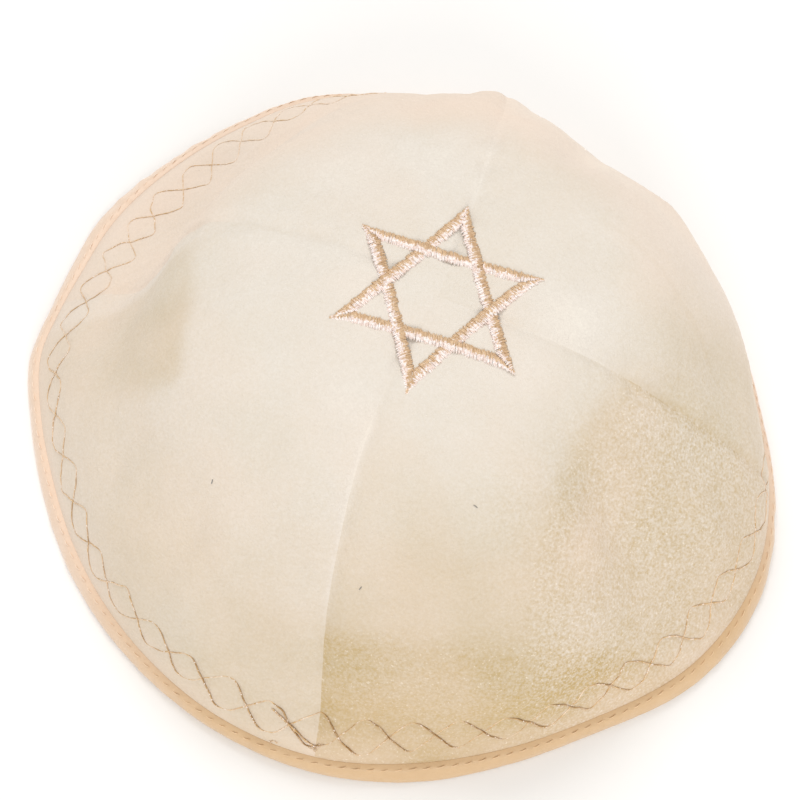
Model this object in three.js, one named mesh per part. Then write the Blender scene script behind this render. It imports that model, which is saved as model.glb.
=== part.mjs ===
// A kippah skullcap: four velvet gores sewn to a shallow dome, a satin tape round the edge
// and an embroidered six-pointed star on the crown. It rests on a table, one side pushed in.
// Millimetres and degrees. X to the right, Y to the back, Z up; the origin is on the table.
import * as THREE from 'three';

// Driving dimensions
const CROWN_HEIGHT = 54;
const TOP_RADIUS = 24;
const TOP_HEIGHT = 53;
const ARC_LENGTH = 109;
const HEM_WIDTH = 16.5;
const VELVET = 1.6;
const GAP = 0.3;
const TAPE = 0.7;
const TAPE_WIDTH = 4.7;
const EDGE_HEIGHT = 1.3;
const TIP_RADIUS = 1;
const SEAM_DEPTH = 0.9;
const SEAM_HALF_WIDTH = 3;
const STAR_RADIUS = 21.6;
const STAR_AZIMUTH = 82.5;
const STAR_BAND = 2.5;
const STAR_RAISE = 0.6;

// The middle of the rim's box lies this far from the crown's axis
const SHIFT_X = -2.1;
const SHIFT_Y = -2.64;

// Where each section's named points lie along the cloth, from the crown (0) to the rim (1)
const STATIONS = {
  crown: 0, top: 0.22, shoulder: 0.42, wall: 0.63, foot: 0.77, hem: 0.85, edge: 0.927, rim: 1,
};

// One row per section round the cap: radii and heights of the rim, hem, wall and shoulder. The
// hem curls outward by curl, and the wall's foot dips below the straight line to the hem by dip.
const SECTION_COLUMNS = [
  'azimuth', 'rim', 'hem', 'curl', 'wall', 'wallHeight', 'dip', 'shoulder', 'shoulderHeight',
];
const SECTIONS = [
  [-176, 86.6, 76.2, 1.0, 63.5, 24.0, 1.0, 50.0, 43.5],
  [-166, 85.0, 77.4, 0.3, 65.3, 27.5, -0.6, 50.0, 45.0],
  [-155, 84.3, 76.4, 0.0, 65.2, 30.0, -1.0, 47.0, 46.5],
  [-140, 84.6, 77.0, 0.0, 65.0, 31.0, -1.2, 45.0, 47.0],
  [-125, 85.0, 78.0, 0.3, 66.0, 31.0, -1.2, 46.0, 46.5],
  [-110, 85.5, 77.8, 1.2, 65.0, 31.5, -1.0, 45.0, 47.0],
  [-95, 85.6, 77.0, 1.2, 65.0, 31.5, -1.0, 45.0, 47.5],
  [-80, 84.4, 75.6, 0.0, 65.5, 32.0, -1.2, 45.0, 48.0],
  [-68, 82.8, 75.8, 0.0, 66.5, 32.0, -1.2, 46.0, 48.0],
  [-54, 82.6, 75.8, 0.2, 65.0, 32.0, -1.0, 45.0, 47.5],
  [-36, 86.4, 76.0, 0.4, 61.5, 30.5, -0.4, 42.0, 45.5],
  [-20, 86.2, 76.6, 0.4, 62.5, 30.0, -0.6, 42.0, 44.5],
  [-6, 82.0, 76.4, 0.4, 63.5, 30.0, -1.2, 42.5, 44.5],
  [8, 77.8, 72.2, 0.4, 62.5, 32.5, -1.2, 45.0, 47.0],
  [25, 76.0, 70.5, 0.4, 62.0, 33.5, -1.2, 46.0, 48.5],
  [43, 75.0, 70.5, 0.4, 61.0, 34.0, -1.2, 45.0, 48.5],
  [57, 71.5, 67.4, 0.4, 59.0, 33.5, -0.8, 44.0, 48.5],
  [75, 75.8, 71.4, 0.4, 61.8, 32.2, 0.4, 44.5, 48.0],
  [84, 80.6, 75.6, 0.4, 65.0, 31.0, 0.6, 45.0, 47.0],
  [93, 77.2, 71.6, 0.4, 62.2, 32.0, 0.6, 44.5, 47.5],
  [107, 80.6, 72.4, 0.6, 61.8, 31.0, 0.4, 44.5, 47.2],
  [118, 82.8, 72.2, 1.4, 60.4, 30.0, 1.4, 45.0, 46.2],
  [130, 82.8, 70.4, 1.8, 58.4, 29.0, 3.2, 46.0, 45.5],
  [143, 83.6, 69.8, 2.0, 57.8, 29.0, 3.8, 47.0, 45.0],
  [157, 85.3, 70.4, 1.8, 58.0, 28.0, 3.8, 48.5, 44.0],
  [168, 84.8, 71.4, 1.5, 59.5, 26.0, 3.2, 50.0, 43.2],
  [176, 85.2, 74.0, 1.2, 61.5, 24.5, 2.2, 50.5, 43.0],
].map((row) => Object.fromEntries(SECTION_COLUMNS.map((name, i) => [name, row[i]])));

// Soft folds: centre and half-size round the cap (degrees) and down the cloth, and depth
const FOLDS = [
  { azimuth: -38, halfTurn: 9, along: 0.58, halfLength: 0.2, depth: 2.6 },
  { azimuth: -22, halfTurn: 6, along: 0.7, halfLength: 0.14, depth: -1.4 },
  { azimuth: 4, halfTurn: 8, along: 0.66, halfLength: 0.16, depth: 2.2 },
  { azimuth: -148, halfTurn: 5, along: 0.7, halfLength: 0.16, depth: 1.3 },
  { azimuth: -128, halfTurn: 5, along: 0.66, halfLength: 0.16, depth: 1.1 },
  { azimuth: 102, halfTurn: 7, along: 0.55, halfLength: 0.2, depth: 1.5 },
  { azimuth: 62, halfTurn: 7, along: 0.6, halfLength: 0.2, depth: 1.6 },
];

// Seams: azimuth at the crown and at the rim; most of the turn between them is near the crown
const SEAMS = {
  front: { crown: -114, rim: -95.6 },
  right: { crown: -12, rim: -6.5 },
  back: { crown: 78, rim: 84 },
  left: { crown: 150, rim: 175 },
};
const SEAM_EASE = 1.6;
const GORES = [
  { name: 'gore_front_right', from: SEAMS.front, to: SEAMS.right },
  { name: 'gore_back_right', from: SEAMS.right, to: SEAMS.back },
  { name: 'gore_back_left', from: SEAMS.back, to: SEAMS.left },
  { name: 'gore_front_left', from: SEAMS.left, to: SEAMS.front },
];

// Facets of the gores and of the star's bars
const TURN_STEPS = 20;
const DOWN_STEPS = 18;
const BAR_STEPS = 6;

// Crowding of a gore's facets towards its seams, and the steps that its slopes are taken over
const CROWDING = { ends: 0.2, middle: 0.07 };
const SLOPE_STEP = { turn: 0.5, along: 0.004 };

// Relief fades out over these shares of the cloth's length, above the tape and at the crown
const FADE = { hem: 0.08, crown: 0.1 };

const VELVET_COLOUR = 0xecdfca;
const TAPE_COLOUR = 0xe6c59b;
const STAR_COLOUR = 0xd3b288;

const radians = THREE.MathUtils.degToRad;
const degrees = THREE.MathUtils.radToDeg;

// Cubic through two values with their slopes, at a part s of a step of size h
function hermite(s, h, y0, m0, y1, m1) {
  const a = (1 + 2 * s) * (1 - s) ** 2;
  const b = s * (1 - s) ** 2 * h;
  const c = s ** 2 * (3 - 2 * s);
  const d = s ** 2 * (s - 1) * h;
  return a * y0 + b * m0 + c * y1 + d * m1;
}

// A section's value at any azimuth, on a smooth closed curve through the rows
function roundTheCap(azimuth, column) {
  const count = SECTIONS.length;
  const turn = ((azimuth + 180) % 360 + 360) % 360 - 180;
  const at = (i) => SECTIONS[(i + count) % count].azimuth + 360 * Math.floor(i / count);
  const value = (i) => SECTIONS[(i + count) % count][column];
  const slope = (i) => (value(i + 1) - value(i - 1)) / (at(i + 1) - at(i - 1));
  let i = -1;
  while (at(i + 1) <= turn) i += 1;
  const step = at(i + 1) - at(i);
  return hermite((turn - at(i)) / step, step, value(i), slope(i), value(i + 1), slope(i + 1));
}

// A point part way from a to b, moved to the right of that direction by an amount
function beside(a, b, part, amount) {
  const [along, up] = [b[0] - a[0], b[1] - a[1]];
  const length = Math.hypot(along, up);
  return [a[0] + along * part + amount * up / length, a[1] + up * part - amount * along / length];
}

// A meridian's radius and height at t, through its stations
function meridian(azimuth, t) {
  const at = (column) => roundTheCap(azimuth, column);
  const rim = [at('rim') - TAPE - GAP, 0];
  const hem = [at('hem'), Math.sqrt(HEM_WIDTH ** 2 - (rim[0] - at('hem')) ** 2)];
  const wall = [at('wall'), at('wallHeight')];
  const footPart = (STATIONS.foot - STATIONS.wall) / (STATIONS.hem - STATIONS.wall);
  const edgePart = (STATIONS.edge - STATIONS.hem) / (STATIONS.rim - STATIONS.hem);
  const points = [
    [STATIONS.crown, 0, CROWN_HEIGHT],
    [STATIONS.top, TOP_RADIUS, TOP_HEIGHT],
    [STATIONS.shoulder, at('shoulder'), at('shoulderHeight')],
    [STATIONS.wall, ...wall],
    [STATIONS.foot, ...beside(wall, hem, footPart, at('dip'))],
    [STATIONS.hem, ...hem],
    [STATIONS.edge, ...beside(hem, rim, edgePart, -at('curl'))],
    [STATIONS.rim, ...rim],
  ];
  const last = points.length - 1;
  const rise = (i, axis) => (points[i + 1][axis] - points[i][axis]) / (points[i + 1][0] - points[i][0]);
  const slope = (i, axis) => {
    if (i === 0) return axis === 1 ? rise(0, axis) : 0;
    if (i === last) return rise(last - 1, axis);
    const before = points[i][0] - points[i - 1][0];
    const after = points[i + 1][0] - points[i][0];
    return (rise(i - 1, axis) * after + rise(i, axis) * before) / (before + after);
  };
  let i = 0;
  while (i < last - 1 && points[i + 1][0] <= t) i += 1;
  const step = points[i + 1][0] - points[i][0];
  const s = (t - points[i][0]) / step;
  return [1, 2].map((axis) => (
    hermite(s, step, points[i][axis], slope(i, axis), points[i + 1][axis], slope(i + 1, axis))
  ));
}

// The cloth's outer face before folds and seams
function smoothPoint(azimuth, t) {
  const [radius, height] = meridian(azimuth, t);
  const turn = radians(azimuth);
  return new THREE.Vector3(radius * Math.cos(turn) - SHIFT_X, radius * Math.sin(turn) - SHIFT_Y, height);
}

function outward(azimuth, t) {
  const { turn, along } = SLOPE_STEP;
  const above = Math.max(t - along, along / 2);
  const below = Math.min(t + along, 1);
  const around = smoothPoint(azimuth + turn, t).sub(smoothPoint(azimuth - turn, t));
  const down = smoothPoint(azimuth, below).sub(smoothPoint(azimuth, above));
  return down.cross(around).normalize();
}

const seamAzimuth = (seam, t) => seam.rim + (seam.crown - seam.rim) * (1 - t) ** SEAM_EASE;

// Where the tape's upper edge crosses each section
const TAPE_TOP = 1 - TAPE_WIDTH / ARC_LENGTH;

// Angle between two azimuths, at most 180 degrees
const apart = (a, b) => Math.abs(((a - b + 180) % 360 + 360) % 360 - 180);

const smoothStep = (x) => THREE.MathUtils.smoothstep(x, 0, 1);
const bump = (x) => Math.exp(-(x ** 2) * 2);

// How far the cloth stands off the smooth form: folds, and a groove along each seam
function relief(azimuth, t) {
  let height = 0;
  for (const fold of FOLDS) {
    const around = apart(azimuth, fold.azimuth) / fold.halfTurn;
    const along = (t - fold.along) / fold.halfLength;
    height -= fold.depth * bump(around) * bump(along);
  }
  const [radius] = meridian(azimuth, t);
  for (const seam of Object.values(SEAMS)) {
    const distance = radians(apart(azimuth, seamAzimuth(seam, t))) * radius;
    height -= SEAM_DEPTH * bump(distance / SEAM_HALF_WIDTH);
  }
  const fade = smoothStep((TAPE_TOP - t) / FADE.hem) * smoothStep(t / FADE.crown);
  return height * fade;
}

function tapeTopPoint(place, offset) {
  return smoothPoint(place.azimuth, TAPE_TOP).addScaledVector(outward(place.facing, TAPE_TOP), offset);
}

// A point of the hem under the tape, moved out by an offset and down the wall to a height
function hemPoint(place, offset, height) {
  const start = tapeTopPoint(place, offset);
  const down = smoothPoint(place.azimuth, 1).sub(smoothPoint(place.azimuth, TAPE_TOP)).normalize();
  return start.addScaledVector(down, (height - start.z) / down.z);
}

// Places across a gore at t, crowded towards its seams and half a gap clear of each. Each has
// its azimuth and the one that it faces: an edge faces as its seam does, so a seam's two
// edges are parallel.
function acrossGore(gore, t) {
  const start = seamAzimuth(gore.from, t);
  let end = seamAzimuth(gore.to, t);
  if (end < start) end += 360;
  const [radius] = meridian(start, t);
  const clear = degrees(GAP / 2 / radius);
  return Array.from({ length: TURN_STEPS + 1 }, (_, i) => {
    const even = i / TURN_STEPS;
    const crowded = even - CROWDING.middle * Math.sin(4 * Math.PI * even) / Math.PI
      - CROWDING.ends * Math.sin(2 * Math.PI * even) / Math.PI;
    const azimuth = start + clear + (end - start - 2 * clear) * crowded;
    const onEdge = i === 0 || i === TURN_STEPS;
    return { azimuth, facing: onEdge ? start + (end - start) * even : azimuth };
  });
}

// A closed mesh from its points and triangles
function solid(name, points, triangles, colour, roughness) {
  const geometry = new THREE.BufferGeometry();
  const position = new Float32Array(points.flatMap((p) => [p.x, p.y, p.z]));
  geometry.setAttribute('position', new THREE.BufferAttribute(position, 3));
  geometry.setIndex(triangles.flat());
  geometry.computeVertexNormals();
  const material = new THREE.MeshStandardMaterial({ color: colour, roughness, metalness: 0 });
  const mesh = new THREE.Mesh(geometry, material);
  mesh.name = name;
  return mesh;
}

// A gore: a curved shell with an outer and an inner grid, closed along its four edges
function makeGore(gore) {
  const tip = STATIONS.top * TIP_RADIUS / TOP_RADIUS;
  const rows = [];
  for (let j = 0; j < DOWN_STEPS; j += 1) {
    const t = tip + (TAPE_TOP - tip) * j / (DOWN_STEPS - 1);
    rows.push(acrossGore(gore, t).map(({ azimuth, facing }) => {
      const normal = outward(facing, t);
      const outer = smoothPoint(azimuth, t).addScaledVector(normal, relief(facing, t));
      return [outer, outer.clone().addScaledVector(normal, -VELVET)];
    }));
  }
  rows.push(acrossGore(gore, TAPE_TOP).map((place) => [
    hemPoint(place, 0, EDGE_HEIGHT),
    hemPoint(place, -VELVET, EDGE_HEIGHT),
  ]));
  const points = rows.flat(2);
  const last = rows.length - 1;
  const id = (j, i, side) => (j * (TURN_STEPS + 1) + i) * 2 + side;
  const triangles = [];
  const quad = (a, b, c, d) => triangles.push([a, b, c], [a, c, d]);
  for (let j = 0; j < last; j += 1) {
    for (let i = 0; i < TURN_STEPS; i += 1) {
      quad(id(j, i, 0), id(j + 1, i, 0), id(j + 1, i + 1, 0), id(j, i + 1, 0));
      quad(id(j, i, 1), id(j, i + 1, 1), id(j + 1, i + 1, 1), id(j + 1, i, 1));
    }
    quad(id(j, 0, 1), id(j + 1, 0, 1), id(j + 1, 0, 0), id(j, 0, 0));
    quad(id(j, TURN_STEPS, 1), id(j, TURN_STEPS, 0), id(j + 1, TURN_STEPS, 0), id(j + 1, TURN_STEPS, 1));
  }
  for (let i = 0; i < TURN_STEPS; i += 1) {
    quad(id(0, i, 1), id(0, i, 0), id(0, i + 1, 0), id(0, i + 1, 1));
    quad(id(last, i, 0), id(last, i, 1), id(last, i + 1, 1), id(last, i + 1, 0));
  }
  return solid(gore.name, points, triangles, VELVET_COLOUR, 0.9);
}

// The satin tape: a ring whose section is a U folded up over both faces of the gores' edge
function makeBinding() {
  const outer = GAP + TAPE;
  const inner = -VELVET - GAP - TAPE;
  const section = (place) => [
    tapeTopPoint(place, outer),
    hemPoint(place, outer, 0),
    hemPoint(place, inner, 0),
    tapeTopPoint(place, inner),
    tapeTopPoint(place, inner + TAPE),
    hemPoint(place, inner + TAPE, EDGE_HEIGHT - GAP),
    hemPoint(place, GAP, EDGE_HEIGHT - GAP),
    tapeTopPoint(place, GAP),
  ];
  const rings = GORES.flatMap((gore) => acrossGore(gore, TAPE_TOP)).map(section);
  const sides = rings[0].length;
  const triangles = [];
  for (let i = 0; i < rings.length; i += 1) {
    const next = (i + 1) % rings.length;
    for (let k = 0; k < sides; k += 1) {
      const up = (k + 1) % sides;
      const [a, b, c, d] = [i * sides + k, i * sides + up, next * sides + up, next * sides + k];
      triangles.push([a, b, c], [a, c, d]);
    }
  }
  return solid('rim_binding', rings.flat(), triangles, TAPE_COLOUR, 0.45);
}

// Where the cloth lies at a plan position near the crown
function crownPoint(x, y, lift) {
  const azimuth = degrees(Math.atan2(y, x));
  const radius = Math.hypot(x, y);
  let low = 0;
  let high = STATIONS.shoulder;
  for (let i = 0; i < 30; i += 1) {
    const middle = (low + high) / 2;
    if (meridian(azimuth, middle)[0] < radius) low = middle;
    else high = middle;
  }
  return new THREE.Vector3(x - SHIFT_X, y - SHIFT_Y, meridian(azimuth, low)[1] + lift);
}

const onCircle = (radius, azimuth) => new THREE.Vector2(
  radius * Math.cos(radians(azimuth)),
  radius * Math.sin(radians(azimuth)),
);

// Straight edges of a plan outline, cut into short steps so that they follow the crown
function stepped(corners) {
  return corners.flatMap((corner, i) => {
    const next = corners[(i + 1) % corners.length];
    const steps = Math.max(1, Math.round(corner.distanceTo(next) * BAR_STEPS / STAR_RADIUS));
    return Array.from({ length: steps }, (_, k) => corner.clone().lerp(next, k / steps));
  });
}

// The star: a flat-topped band along the lines of two crossed triangles
function makeStar() {
  const centreLine = STAR_RADIUS / 2 - STAR_BAND / 2;
  const outside = centreLine + STAR_BAND / 2;
  const inside = centreLine - STAR_BAND / 2;
  const tip = outside * 2;
  const notch = tip / Math.sqrt(3);
  const turns = [0, 1, 2, 3, 4, 5].map((i) => STAR_AZIMUTH + 60 * i);
  const outline = turns.flatMap((turn) => [onCircle(tip, turn), onCircle(notch, turn + 30)]);
  const shape = new THREE.Shape(stepped(outline));
  const middle = turns.map((turn) => onCircle(inside * 2 / Math.sqrt(3), turn + 30));
  shape.holes.push(new THREE.Path(stepped(middle)));
  const eyeCentre = tip * 2 / 3;
  const eyeRadius = tip / 3 - STAR_BAND * 2;
  for (const turn of turns) {
    const eye = [0, 120, 240].map((corner) => (
      onCircle(eyeRadius, turn + corner).add(onCircle(eyeCentre, turn))
    ));
    shape.holes.push(new THREE.Path(stepped(eye)));
  }
  const flat = new THREE.ExtrudeGeometry(shape, { depth: 1, bevelEnabled: false, steps: 1 });
  const place = flat.getAttribute('position');
  const points = [];
  const found = new Map();
  const ids = [];
  for (let i = 0; i < place.count; i += 1) {
    const [x, y, level] = [place.getX(i), place.getY(i), place.getZ(i)];
    const key = [x.toFixed(3), y.toFixed(3), level].join(' ');
    if (!found.has(key)) {
      found.set(key, points.length);
      points.push(crownPoint(x, y, GAP + STAR_RAISE * level));
    }
    ids.push(found.get(key));
  }
  const triangles = [];
  for (let i = 0; i < ids.length; i += 3) triangles.push([ids[i], ids[i + 1], ids[i + 2]]);
  return solid('embroidered_star', points, triangles, STAR_COLOUR, 0.5);
}

const kippah = new THREE.Group();
for (const gore of GORES) kippah.add(makeGore(gore));
kippah.add(makeBinding());
kippah.add(makeStar());

export default kippah;
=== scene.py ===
# A kippah skullcap: four velvet gores, a satin tape round the edge, two crossed waves of
# metallic thread above it and a satin-stitched star on the crown. It rests on a pale table.
import math

import bpy
import numpy as np
from mathutils import Matrix, Vector


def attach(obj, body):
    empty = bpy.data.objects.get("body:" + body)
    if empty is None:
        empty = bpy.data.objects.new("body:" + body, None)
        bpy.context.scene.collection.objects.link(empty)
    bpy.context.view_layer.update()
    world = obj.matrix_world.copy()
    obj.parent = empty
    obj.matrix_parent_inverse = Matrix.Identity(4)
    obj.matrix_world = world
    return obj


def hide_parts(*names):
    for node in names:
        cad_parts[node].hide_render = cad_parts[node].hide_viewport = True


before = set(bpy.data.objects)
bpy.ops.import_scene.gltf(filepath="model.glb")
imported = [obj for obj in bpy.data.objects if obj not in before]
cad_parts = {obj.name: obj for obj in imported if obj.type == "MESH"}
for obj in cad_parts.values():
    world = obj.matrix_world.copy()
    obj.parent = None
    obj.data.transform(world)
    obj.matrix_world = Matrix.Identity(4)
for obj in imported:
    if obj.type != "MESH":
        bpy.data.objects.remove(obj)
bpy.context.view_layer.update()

# The driving dimensions of the solids, in millimetres and degrees
CROWN_HEIGHT = 54.0
TOP_RADIUS = 24.0
TOP_HEIGHT = 53.0
ARC_LENGTH = 109.0
HEM_WIDTH = 16.5
VELVET = 1.6
GAP = 0.3
TAPE = 0.7
TAPE_WIDTH = 4.7
EDGE_HEIGHT = 1.3
TIP_RADIUS = 0.04
SEAM_DEPTH = 0.5
SEAM_HALF_WIDTH = 3.0
STAR_RADIUS = 21.6
STAR_AZIMUTH = 82.5
STAR_BAND = 2.5
SHIFT = np.array([-2.10, -2.64, 0.0])

# Where each section's named points lie along the cloth, from the crown (0) to the rim (1)
STATIONS = (0.0, 0.22, 0.42, 0.63, 0.77, 0.85, 0.927, 1.0)
TOP, SHOULDER, WALL, FOOT, HEM, EDGE, RIM = STATIONS[1:]
TAPE_TOP = 1 - TAPE_WIDTH / ARC_LENGTH

# One row per section round the cap. The hem curls outward by curl, and the wall's foot dips
# below the straight line to the hem by dip.
SECTIONS = np.array([
    # azimuth, rim, hem, curl, wall, wall height, dip, shoulder, shoulder height
    (-176, 86.6, 76.2, 1.0, 63.5, 24.0, 1.0, 50.0, 43.5),
    (-166, 85.0, 77.4, 0.3, 65.3, 27.5, -0.6, 50.0, 45.0),
    (-155, 84.3, 76.4, 0.0, 65.2, 30.0, -1.0, 47.0, 46.5),
    (-140, 84.6, 77.0, 0.0, 65.0, 31.0, -1.2, 45.0, 47.0),
    (-125, 85.0, 78.0, 0.3, 66.0, 31.0, -1.2, 46.0, 46.5),
    (-110, 85.5, 77.8, 1.2, 65.0, 31.5, -1.0, 45.0, 47.0),
    (-95, 85.6, 77.0, 1.2, 65.0, 31.5, -1.0, 45.0, 47.5),
    (-80, 84.4, 75.6, 0.0, 65.5, 32.0, -1.2, 45.0, 48.0),
    (-68, 82.8, 75.8, 0.0, 66.5, 32.0, -1.2, 46.0, 48.0),
    (-54, 82.6, 75.8, 0.2, 65.0, 32.0, -1.0, 45.0, 47.5),
    (-36, 86.4, 76.0, 0.4, 61.5, 30.5, -0.4, 42.0, 45.5),
    (-20, 86.2, 76.6, 0.4, 62.5, 30.0, -0.6, 42.0, 44.5),
    (-6, 82.0, 76.4, 0.4, 63.5, 30.0, -1.2, 42.5, 44.5),
    (8, 77.8, 72.2, 0.4, 62.5, 32.5, -1.2, 45.0, 47.0),
    (25, 76.0, 70.5, 0.4, 62.0, 33.5, -1.2, 46.0, 48.5),
    (43, 75.0, 70.5, 0.4, 61.0, 34.0, -1.2, 45.0, 48.5),
    (57, 71.5, 67.4, 0.4, 59.0, 33.5, -0.8, 44.0, 48.5),
    (75, 75.8, 71.4, 0.4, 61.8, 32.2, 0.4, 44.5, 48.0),
    (84, 80.6, 75.6, 0.4, 65.0, 31.0, 0.6, 45.0, 47.0),
    (93, 77.2, 71.6, 0.4, 62.2, 32.0, 0.6, 44.5, 47.5),
    (107, 80.6, 72.4, 0.6, 61.8, 31.0, 0.4, 44.5, 47.2),
    (118, 82.8, 72.2, 1.4, 60.4, 30.0, 1.4, 45.0, 46.2),
    (130, 82.8, 70.4, 1.8, 58.4, 29.0, 3.2, 46.0, 45.5),
    (143, 83.6, 69.8, 2.0, 57.8, 29.0, 3.8, 47.0, 45.0),
    (157, 85.3, 70.4, 1.8, 58.0, 28.0, 3.8, 48.5, 44.0),
    (168, 84.8, 71.4, 1.5, 59.5, 26.0, 3.2, 50.0, 43.2),
    (176, 85.2, 74.0, 1.2, 61.5, 24.5, 2.2, 50.5, 43.0),
])

# Folds: azimuth, half turn, place along the cloth, half length there, and depth
FOLDS = [
    (-38, 9, 0.58, 0.20, 2.6),
    (-22, 6, 0.70, 0.14, -1.4),
    (4, 8, 0.66, 0.16, 2.2),
    (-148, 5, 0.70, 0.16, 1.3),
    (-128, 5, 0.66, 0.16, 1.1),
    (102, 7, 0.55, 0.20, 1.5),
    (62, 7, 0.60, 0.20, 1.6),
]

# Unevenness of the cloth and the tape: size of the bumps, seed of their noise, and height
PUCKERS = (6.0, 3, 0.13)
SWELLS = (34.0, 5, 0.30)
RIPPLES = (13.0, 7, 0.10)
TUFTS = (2.6, 9, 0.035)
TAPE_CREASES = (4.2, 21, 0.10)
TAPE_WRINKLES = (1.8, 22, 0.04)
WAVES_SUMMED = 18

# Seams: azimuth at the crown and at the rim
SEAMS = {"front": (-114.0, -95.6), "right": (-12.0, -6.5), "back": (78.0, 84.0), "left": (150.0, 175.0)}
SEAM_EASE = 1.6
PUCKER_AT = 1.5
PUCKER_HALF_WIDTH = 4.0
GORES = {
    "gore_front_right": ("front", "right"),
    "gore_back_right": ("right", "back"),
    "gore_back_left": ("back", "left"),
    "gore_front_left": ("left", "front"),
}

# Edges of the zones where the velvet is drawn darker, partly as pile that lies another way and partly as
# painted shade (the dent, the right zone, the band above the hem, and a crease line towards the back): rows
# of azimuth and place along the cloth
DENT_ABOVE = ((150, 0.42), (172, 0.42), (181, 0.395), (192, 0.40), (204, 0.46), (212, 0.56))
DENT_BELOW = ((160, 0.98), (188, 0.90), (196, 0.76), (201, 0.64), (207, 0.52))
RIGHT_ZONE = (
    (-72, 0.72), (-64, 0.57), (-62, 0.52), (-53, 0.42), (-40, 0.38), (-28, 0.355), (-8, 0.38),
)
BOTTOM_BAND = (
    (-114, 0.66), (-99, 0.625), (-86, 0.60), (-72, 0.59), (-60, 0.645), (-52, 0.73), (-43, 0.86), (-34, 1.0),
)
EDGE_LINE = ((-6, 0.80), (-2, 0.73), (4, 0.60), (16, 0.48), (36, 0.38), (60, 0.30))

# Each seam's line: how much lighter (below 0, a painted highlight along the seam) or darker than
# the pile it looks, where along it that starts and ends, and how deep its narrow groove is
SEAM_LINES = {
    "front": (-0.19, 0.20, 0.66, 0.26),
    "right": (0.16, 0.36, 0.95, 0.28),
    "back": (-0.09, 0.18, 0.90, 0.16),
    "left": (0.05, 0.15, 0.42, 0.12),
}

# The mesh: columns and rows on a gore, the rows and width of the band under the waves of thread,
# how much the columns crowd towards the seams, the angle of a sharp edge, and the tape's stations
GORE_COLUMNS = 140
GORE_ROWS = 110
BAND_ROWS = 60
BAND_WIDTH = 21
CROWDING = 0.25
SHARP_EDGE = 50
TAPE_STATIONS = 900

# The tape: the height shares where its lower bend ends and its upper edge starts to thin, how far
# it bulges, how far its upper edge stands off the velvet, and the height share of the hollow's
# floor between its two sides
TAPE_BEND = 0.14
TAPE_THIN_FROM = 0.86
TAPE_BULGE = 0.35
TAPE_EDGE = 0.15
TAPE_INSIDE = 0.35

# Seam grooves, and the radius that turns a distance along the hem into an angle
LIP_HALF_WIDTH = 0.9
SEAM_LINE_WIDTH = 1.6
HEM_RADIUS = 84

# Waves of thread. A sway is a height, a pace and a turn that differs between the two waves.
WAVE_START = 70
WAVE_CROSSINGS = 51
WAVE_CROSSING_AZIMUTH = -107.0
WAVE_HALF_HEIGHT = 4.1
WAVE_THREAD = 0.145
WAVE_GROOVE = 0.16
WAVE_GROOVE_HALF_WIDTH = 0.7
WAVE_STEPS = 22
WAVE_SPREAD = 0.35
WAVE_STRAIGHTNESS = 0.80
WAVE_SWAYS = ((0.35, 0.29, 1), (0.25, 0.83, -1))

# The tape's stitches and the dimples that they pull into it
STITCH_PITCH = 2.9
STITCH_LENGTH = 2.0
STITCH_SHARE = 0.88
STITCH_THREAD = 0.12
STITCH_LIFT = 1.10
STITCH_SINK = 0.30
STITCH_SLANT = 0.03
DIMPLE_SHARE = 0.09
DIMPLE_DEPTH = 0.09
DIMPLE_RISE = 0.07

# The star's stitches: their bars pass over and under each other, and one side of a bar, the side toward the
# front light, is drawn pale as a painted highlight
STAR_STITCH_PITCH = 0.27
STAR_THREAD = 0.16
STAR_RISE = 0.42
STAR_WAIST = 0.30
STAR_SLANT = 0.35
STAR_SUNK = 0.12
STAR_LEAST_WIDTH = 0.45
STAR_OVER = 0.24
STAR_UNDER = 0.16
STAR_CROSSING = 1.7
STAR_PAINTED_SHINE_TOWARD = np.array([-0.19, -0.98])
THREAD_SIDES = 6
LINT_SIDES = 5

# The waves' middle, in millimetres from the edge, round the cap
WAVE_MIDDLE = (
    (-180, 13.2), (-155, 13.8), (-137, 11.4), (-120, 12.6), (-90, 12.3), (-60, 12.4), (-40, 13.2),
    (-22, 13.8), (10, 13.0), (100, 12.4), (150, 13.4), (180, 13.2),
)

# How the waves look by azimuth: how far the strokes that run down and up stand off the pile, how
# dark each is (below 0 is paler than gold: painted light, most at the back), and the thread's thickness
WAVE_LOOKS = (
    # azimuth, down lift, up lift, down dark, up dark, thickness
    (-180, 0.11, 0.09, 0.00, -0.10, 0.80),
    (-150, 0.14, 0.11, 0.24, 0.08, 0.85),
    (-130, 0.15, 0.07, 0.30, 0.05, 0.90),
    (-116, 0.24, -0.02, 0.62, 0.05, 1.10),
    (-66, 0.24, -0.02, 0.62, 0.05, 1.10),
    (-50, 0.16, 0.07, 0.28, 0.12, 1.05),
    (-30, 0.11, 0.09, 0.08, 0.05, 1.05),
    (0, 0.10, 0.08, -0.05, -0.05, 0.95),
    (40, 0.10, 0.08, -0.35, -0.35, 0.85),
    (135, 0.10, 0.08, -0.35, -0.35, 0.80),
    (150, 0.11, 0.09, 0.05, -0.10, 0.80),
    (166, 0.10, 0.08, -0.05, -0.20, 0.80),
    (180, 0.11, 0.09, 0.00, -0.10, 0.80),
)

# The doubled stroke by the front seam: where it starts and how far it runs, as azimuth and place
# along the cloth, how dark each of its threads is, and their radius
DOUBLED_START = (-103.4, 0.868)
DOUBLED_RUN = (7.6, 0.058)
DOUBLED_DARK = (0.0, 0.4, 0.1, 0.5)
DOUBLED_THREAD = 0.13

# Tangles of thread ends: azimuth, place along the cloth, length of the ends and their number
TANGLES = ((-95.8, 0.925, 2.8, 8), (-101.8, 0.948, 1.9, 4))
TANGLE_THREAD = 0.06

# Loose fibres: azimuth, place along the cloth, length and turn
LINT = (
    (-132.0, 0.517, 0.8, 55),
    (-95.0, 0.540, 0.7, 120),
    (-71.0, 0.390, 0.9, 40),
    (140.0, 0.763, 0.6, 80),
)
LINT_THREAD = 0.09
LINT_LIFT = 0.06

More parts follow.
